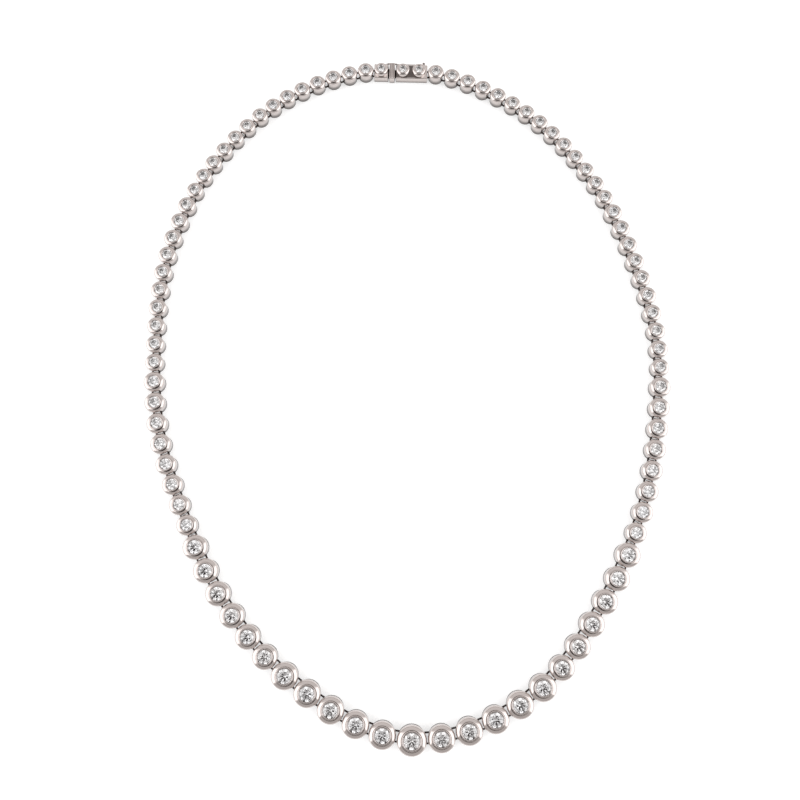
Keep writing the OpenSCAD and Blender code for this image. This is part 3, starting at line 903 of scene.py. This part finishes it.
def thumb_plate():
    """The thumb plate: four round ribs along its top, and rounded ends."""
    left, right = THUMB_U, THUMB_U + THUMB_T
    under = [(left, THUMB_SOFT), (left + THUMB_SOFT, 0), (right - THUMB_SOFT, 0), (right, THUMB_SOFT)]
    crests = []
    for k in range(RIBS):
        groove = (left + right) / 2 + (k - RIBS / 2) * RIB_PITCH
        start = left if k == 0 else groove + GROOVE_HALF
        end = right if k == RIBS - 1 else groove + RIB_PITCH - GROOVE_HALF
        for step in range(RIB_STEPS + 1):
            a = math.pi * step / RIB_STEPS
            u = (start + end) / 2 - (end - start) / 2 * math.cos(a)
            crests.append((u, THUMB_TOP - RIB_H + RIB_H * math.sin(a)))
    near = []
    for k in range(RIB_STEPS, -1, -1):
        a = math.radians(90) * k / RIB_STEPS
        near.append((THUMB_END * (1 - math.sin(a)) - THUMB_W / 2, THUMB_END * (1 - math.cos(a)) / 2))
    far = [(-v, inset) for v, inset in near[::-1]]
    return drawn_across(under + crests[::-1], near + far)


def spring_leaf():
    """The tongue: a strip folded back over itself, whose upper leaf rises to its free end."""
    start = THUMB_U + THUMB_T - LET_IN
    fold_u, fold_z = LEAF_TIP - LEAF_T, LEAF_Z + LEAF_T
    fold = []
    for k in range(1, FOLD_STEPS):
        a = math.pi * (k / FOLD_STEPS - 0.5)
        fold.append((fold_u + LEAF_T * math.cos(a), fold_z + LEAF_T * math.sin(a)))
    upper = [(fold_u, fold_z + LEAF_T), (LEAF_END, FREE_Z), (LEAF_END, FREE_Z - LEAF_T)]
    back = [(fold_u - 0.1 * MM, fold_z + 0.01 * MM), (start, fold_z)]
    outline = [(start, LEAF_Z), (fold_u, LEAF_Z)] + fold + upper + back
    half = LEAF_W / 2
    near = [(-half, LEAF_SOFT), (-half + LEAF_SOFT, 0)]
    return drawn_across(outline, near + [(-v, inset) for v, inset in near[::-1]])


def ball_stud():
    """The stud and its ball, turned in one, pointing out along v."""
    pole = 0.01 * MM
    reach = BALL_V - half_w
    outline = [(pole, -LET_IN), (STUD_R, -LET_IN), (STUD_R + 0.05 * MM, 0.0), (STUD_R, 0.06 * MM)]
    first, last = math.asin(STUD_R / BALL_R), math.radians(164)
    for k in range(BALL_STEPS + 1):
        a = first + (last - first) * k / BALL_STEPS
        outline.append((BALL_R * math.sin(a), reach - BALL_R * math.cos(a)))
    outline.append((pole, reach + 0.96 * BALL_R))
    aside = Matrix.Translation((BALL_U, half_w, CATCH_Z)) @ Matrix.Rotation(math.radians(-90), 4, "X")
    return moved(turned(outline, 32, closed=False), aside)


tongue = (0, -half_w, 0), (TONGUE_L, half_w, BOX_H)
end_piece = block_on_clasp(*tongue, "end_piece", soften=BOX_SOFT, steps=4)
underside = (WALL, -half_w + WALL, -WALL), (TONGUE_L - WALL, half_w - WALL, PLATE_Z)
cut_with(end_piece, block_on_clasp(*underside, "underside"))
bore(end_piece, seats_u[:1])
cut_with(end_piece, anchor_holes("left"))
neck = (TONGUE_L - LET_IN, -LEAF_W / 2, NECK_LOW), (THUMB_U + LET_IN, LEAF_W / 2, NECK_TOP)
parts = [end_piece, soldered_setting(seats_u[0], "tongue_setting")]
parts.append(block_on_clasp(*neck, "neck", soften=TAB_SOFT))
for made, name in ((thumb_plate(), "thumb_plate"), (spring_leaf(), "leaf"), (ball_stud(), "stud")):
    parts.append(on_clasp(made, name))
clasp_tongue = joined("clasp_tongue_polished", parts, clasp_gold)
hand_in(clasp_tongue, "necklace", "clasp_tongue")


# THE SAFETY CATCH
# One length of round white gold wire: a barrel turns on the hinge pin, a bow passes round the thumb
# plate, and an eye at its end snaps over the ball of the tongue.
CATCH_WIRE_R = 0.21 * MM
CATCH_WIRE_SIDES = 24
EYE_R = 0.62 * MM
EYE_V = 2.17 * MM
EYE_WIRE_R = 0.22 * MM
EYE_WIRE_SIDES = 16
BOW_V = 2.61 * MM
BOW_HALF = 0.5 * MM
BEND_U = BOX_U + 0.6 * MM
BEND_R = 1.2 * MM
BEND_STEPS = 6
BARREL_SOFT = 0.06 * MM
BORE_SOFT = 0.03 * MM
PIN_GAP = 0.05 * MM
WIRE_GOLD = (0.58, 0.53, 0.51)


def rounded_path(corners, radius):
    """A flat path with a curve in place of each of its inner corners."""
    path = [corners[0]]
    for before, corner, after in zip(corners, corners[1:], corners[2:]):
        to_before = (before - corner).normalized()
        to_after = (after - corner).normalized()
        half_turn = (math.pi - to_before.angle(to_after)) / 2
        shortest = min((before - corner).length, (after - corner).length)
        reach = min(radius * math.tan(half_turn), 0.45 * shortest)
        start, end = corner + to_before * reach, corner + to_after * reach
        for k in range(BEND_STEPS + 1):
            t = k / BEND_STEPS
            path.append((1 - t) ** 2 * start + 2 * t * (1 - t) * corner + t**2 * end)
    return path + [corners[-1]]


def swept(path, radius):
    """A bmesh of round wire along a flat path."""
    shape = bmesh.new()
    rings = []
    for k, point in enumerate(path):
        ahead = (path[min(k + 1, len(path) - 1)] - path[max(k - 1, 0)]).normalized()
        across, up = Vector((-ahead.y, ahead.x, 0)), Vector((0, 0, 1))
        turn = [2 * math.pi * j / CATCH_WIRE_SIDES for j in range(CATCH_WIRE_SIDES)]
        ring = [point + radius * (math.cos(a) * across + math.sin(a) * up) for a in turn]
        rings.append([shape.verts.new(place) for place in ring])
    return skinned(shape, rings)


eye_u = BALL_U + EYE_R
bow_u = (BEND_U + eye_u) / 2
corners = [(PIN_U - KNUCKLE_R + 0.1 * MM, PIN_V), (BEND_U, PIN_V), (bow_u + BOW_HALF, BOW_V)]
corners += [(bow_u - BOW_HALF, BOW_V), (eye_u, EYE_V)]
wire_path = rounded_path([Vector((u, v, CATCH_Z)) for u, v in corners], BEND_R)
catch_wire = on_clasp(swept(wire_path, CATCH_WIRE_R), "catch_wire")
inner, end = PIN_R + PIN_GAP, BARREL_H / 2
upper = [(KNUCKLE_R, end - BARREL_SOFT), (KNUCKLE_R - BARREL_SOFT, end)]
upper += [(inner + BORE_SOFT, end), (inner, end - BORE_SOFT)]
outline = [(out, -up) for out, up in upper[::-1]] + upper
barrel = on_clasp(moved(turned(outline, 40), Matrix.Translation((PIN_U, PIN_V, CATCH_Z))), "barrel")
around_wire = [2 * math.pi * k / EYE_WIRE_SIDES for k in range(EYE_WIRE_SIDES)]
outline = [(EYE_R + EYE_WIRE_R * math.cos(a), EYE_WIRE_R * math.sin(a)) for a in around_wire]
eye_place = Matrix.Translation((BALL_U, EYE_V, CATCH_Z)) @ Matrix.Rotation(math.radians(90), 4, "X")
eye = on_clasp(moved(turned(outline, 48), eye_place), "eye")
catch_gold = white_gold("catch_gold", gold=WIRE_GOLD, table_shade_below=1.2 * MM)
catch = joined("safety_catch_polished", [catch_wire, barrel, eye], catch_gold)
hand_in(catch, "catch", "safety_catch")


# THE TABLE AND THE LIGHT
# A plain white table and soft studio light: a large softbox on each side, pale walls, and a black
# camera overhead, which the metal mirrors below its lips. The lens itself sees plain white paper
# past the table, so that no horizon shows.
TABLE_HALF = 6
TABLE_DARK = (0.54, 0.54, 0.54, 1)
TABLE_LIGHT = (0.56, 0.56, 0.56, 1)
TABLE_GLOW = 0.58
GRAIN_SIZE = 40 * MM
NEAR_WALL = (0.68, 0.66, 0.65, 1)
FAR_WALL = (0.95, 0.93, 0.92, 1)
FAR_WALL_AT = (0, 1, 0.25)
SKIRTING = (0.5, 0.48, 0.475, 1)
SKIRTING_H = (0.3, 0.1)  # how high a direction points where it begins and where it is full
SOFTBOX = (2.1, 2.1, 2.1, 1)
SOFTBOX_FORWARD = 0.08  # how far the softboxes' middles stand towards the photographer
SOFTBOX_NARROW = 2.8  # the larger this is, the narrower they are
SOFTBOX_FADE = 0.9  # how much softer their far edges are than their near ones
CAMERA_BLACK = (0.04, 0.035, 0.035, 1)
CAMERA_AT = (0, -0.18, 1)
PAPER = (1.0, 1.0, 1.0, 1)

shape = bmesh.new()
bmesh.ops.create_grid(shape, x_segments=1, y_segments=1, size=TABLE_HALF)
table = as_object(shape, "table")
table_shader = Shader(bpy.data.materials.new("table"))
white = table_shader.blend(table_shader.noise(GRAIN_SIZE), TABLE_DARK, TABLE_LIGHT)
glow = {"Emission Color": PAPER, "Emission Strength": TABLE_GLOW}
table.data.materials.append(table_shader.surface({"Base Color": white, "Roughness": 0.6, **glow}))

room = Shader(bpy.data.worlds.new("room"))
bpy.context.scene.world = room.data
direction = room.of("Generated")


def patch(towards, inner, outer):
    """1 within inner degrees of a direction of the room, falling to 0 at outer degrees."""
    closeness = room.along(direction, tuple(Vector(towards).normalized()))
    edge, core = math.cos(math.radians(outer)), math.cos(math.radians(inner))
    return room.ramp(closeness, edge, core, "SMOOTHSTEP")


x, height = room.part(direction, "X"), room.part(direction, "Z")
y = room.part(direction, "Y") + SOFTBOX_FORWARD
sideways = x * x - y * y * SOFTBOX_NARROW
soft_from = y.or_more(0.0) * -SOFTBOX_FADE - 0.03
seen = room.blend(patch(FAR_WALL_AT, 40, 75), NEAR_WALL, FAR_WALL)
seen = room.blend(room.ramp(height, *SKIRTING_H), seen, SKIRTING)
seen = room.blend(room.ramp(sideways, soft_from, 0.07, "SMOOTHSTEP"), seen, SOFTBOX)
seen = room.blend(patch(CAMERA_AT, 15, 21), seen, CAMERA_BLACK)
through_lens = room.add("ShaderNodeLightPath", {}, {}, "Is Camera Ray")
seen = room.blend(through_lens, seen, PAPER)
room.set(room.tree.nodes["Background"], {"Color": seen, "Strength": 1.0})
bpy.context.scene.view_settings.view_transform = "Standard"


# THE CAMERA
# It stands over the necklace, about 20 cm up and leaning 11 degrees to the front, as in the photo.
LENS_MM = 40.5
STANDS_AT = Vector((-1.58, -42.05, 202.32)) * MM
LOOKS_AT = Vector((-1.58, -3.61, 0)) * MM

camera = bpy.data.objects.new("camera", bpy.data.cameras.new("camera"))
camera.data.lens = LENS_MM
camera.data.sensor_width = 36
camera.data.clip_start = 10 * MM
camera.location = STANDS_AT
camera.rotation_euler = (LOOKS_AT - STANDS_AT).to_track_quat("-Z", "Y").to_euler()
bpy.context.scene.collection.objects.link(camera)
bpy.context.scene.camera = camera
